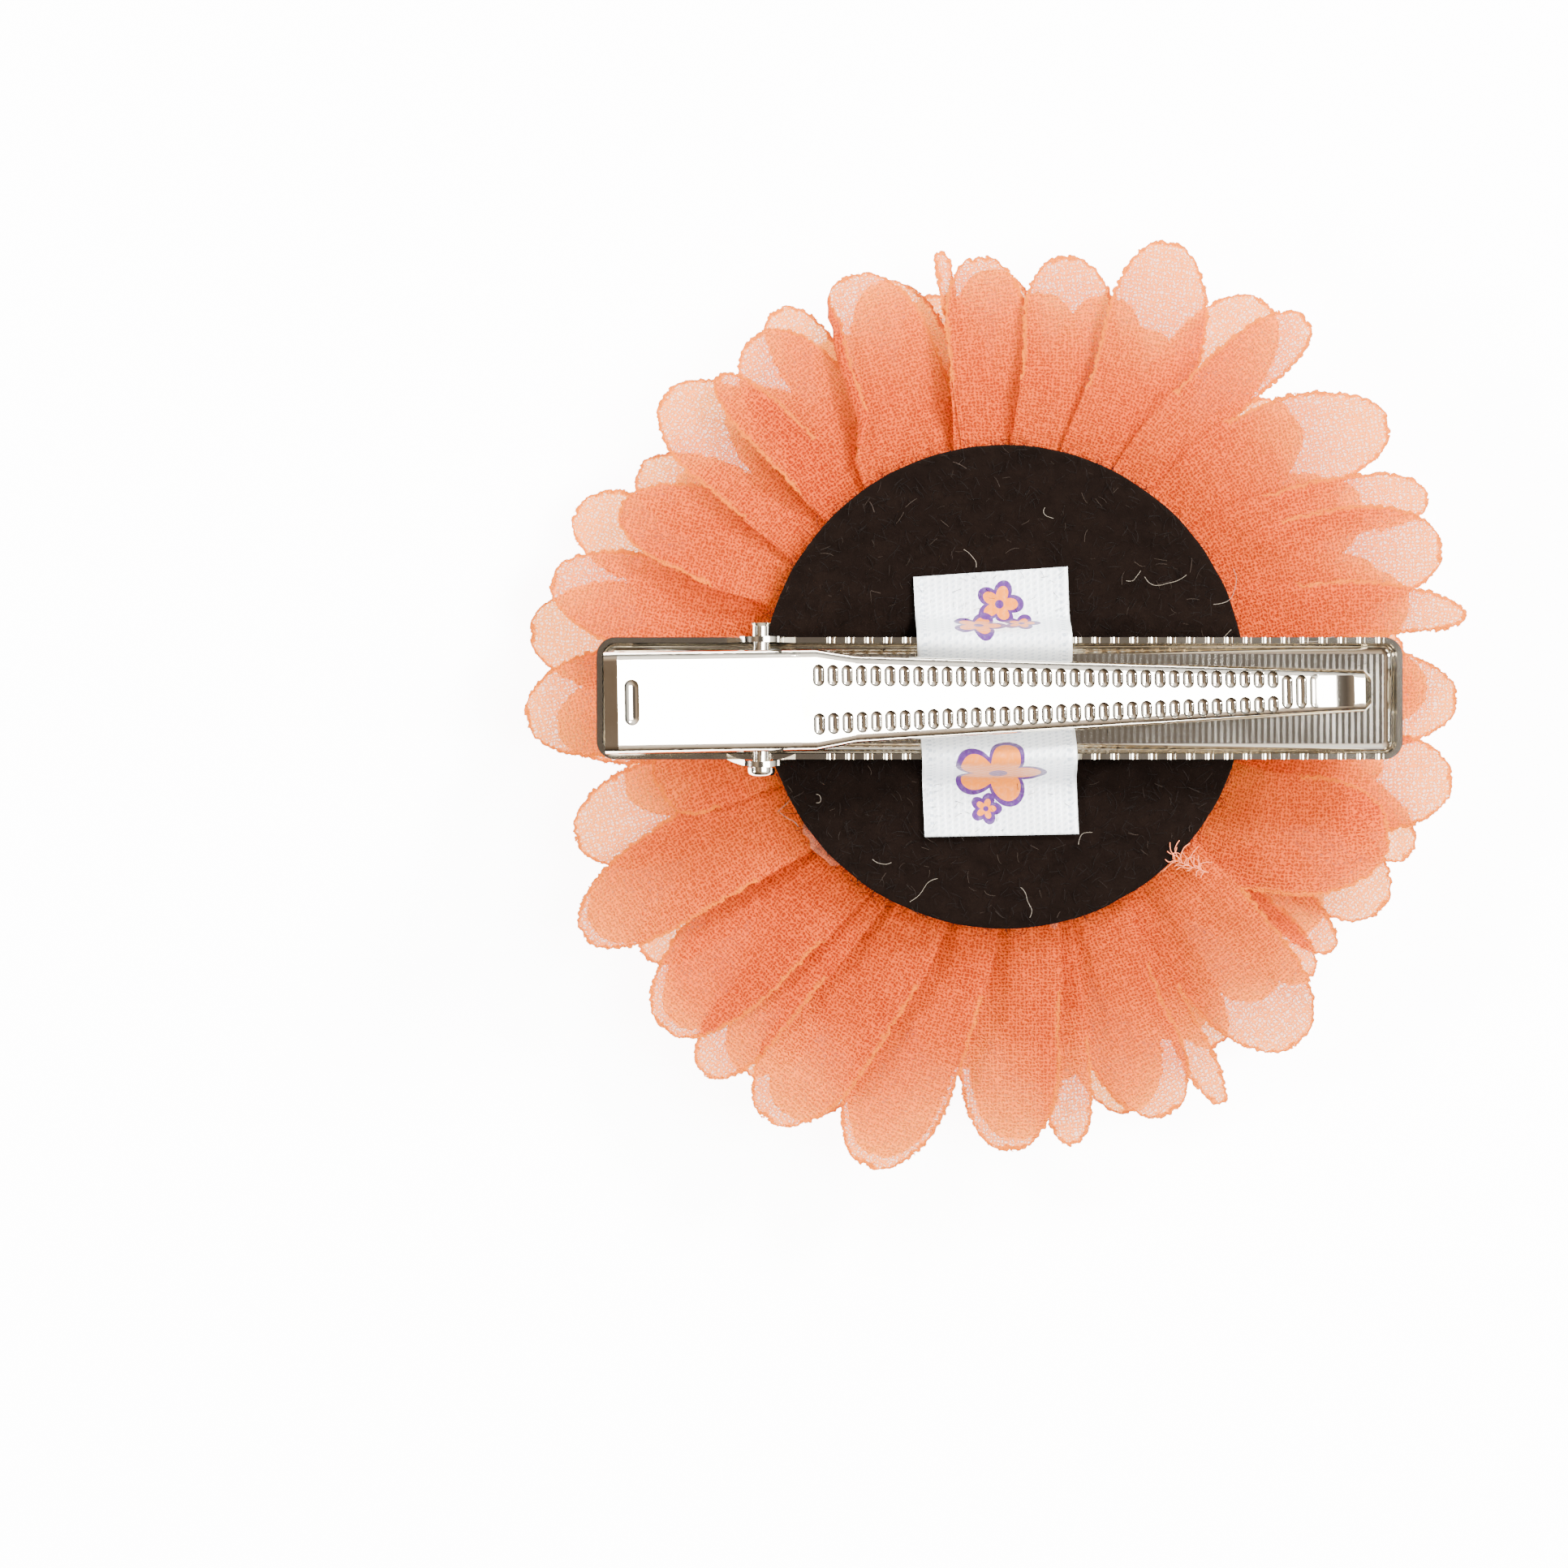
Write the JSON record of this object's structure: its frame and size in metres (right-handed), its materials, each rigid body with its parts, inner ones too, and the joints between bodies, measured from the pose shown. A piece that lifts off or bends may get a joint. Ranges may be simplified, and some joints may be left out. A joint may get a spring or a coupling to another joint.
{
  "type": "flower hair clip",
  "caption": "Gathered chiffon flower on a felt disc with a sprung alligator hair clip and a ribbon strap glued to its back.",
  "frame": {"origin": "middle of the flower's outline, on the surface that the flower lies on", "axes": "+X along the clip towards the tip of its jaws, +Z out of the flower's back, +Y across the clip"},
  "size_m": [0.0638, 0.0638, 0.0225],
  "materials": {
    "nickel": "bright nickel",
    "rivet": "bright nickel",
    "spring": "tempered spring steel",
    "felt": "wool felt",
    "glue": "clear hot-melt glue",
    "ribbon": "satin",
    "chiffon": "sheer chiffon",
    "thread": "polyester thread"
  },
  "bodies": {
    "back_and_flower": {"clip_base": "nickel", "hinge_rivet": "rivet", "clip_spring": "spring", "felt_disc": "felt", "felt_glue": "glue", "clip_glue": "glue", "ribbon_strap": "ribbon", "ribbon_glue_north": "glue", "ribbon_glue_south": "glue", "petal_turn_1": "chiffon", "petal_turn_2": "chiffon", "petal_turn_3": "chiffon", "petal_turn_4": "chiffon", "petal_turn_5": "chiffon", "centre_bud": "chiffon", "gathering_thread": "thread"},
    "arm": {"clip_arm": "nickel"}
  },
  "joints": [
    {"name": "clip_hinge", "type": "hinge", "parent": "back_and_flower", "child": "arm", "pos_m": [-0.0161, 0.0002, 0.0175], "axis": [0, -1, 0], "range_deg": [0, 25], "stiffness_Nm_per_rad": 0.02, "springref_deg": -85.94, "deforming": ["clip_spring"]}
  ]
}
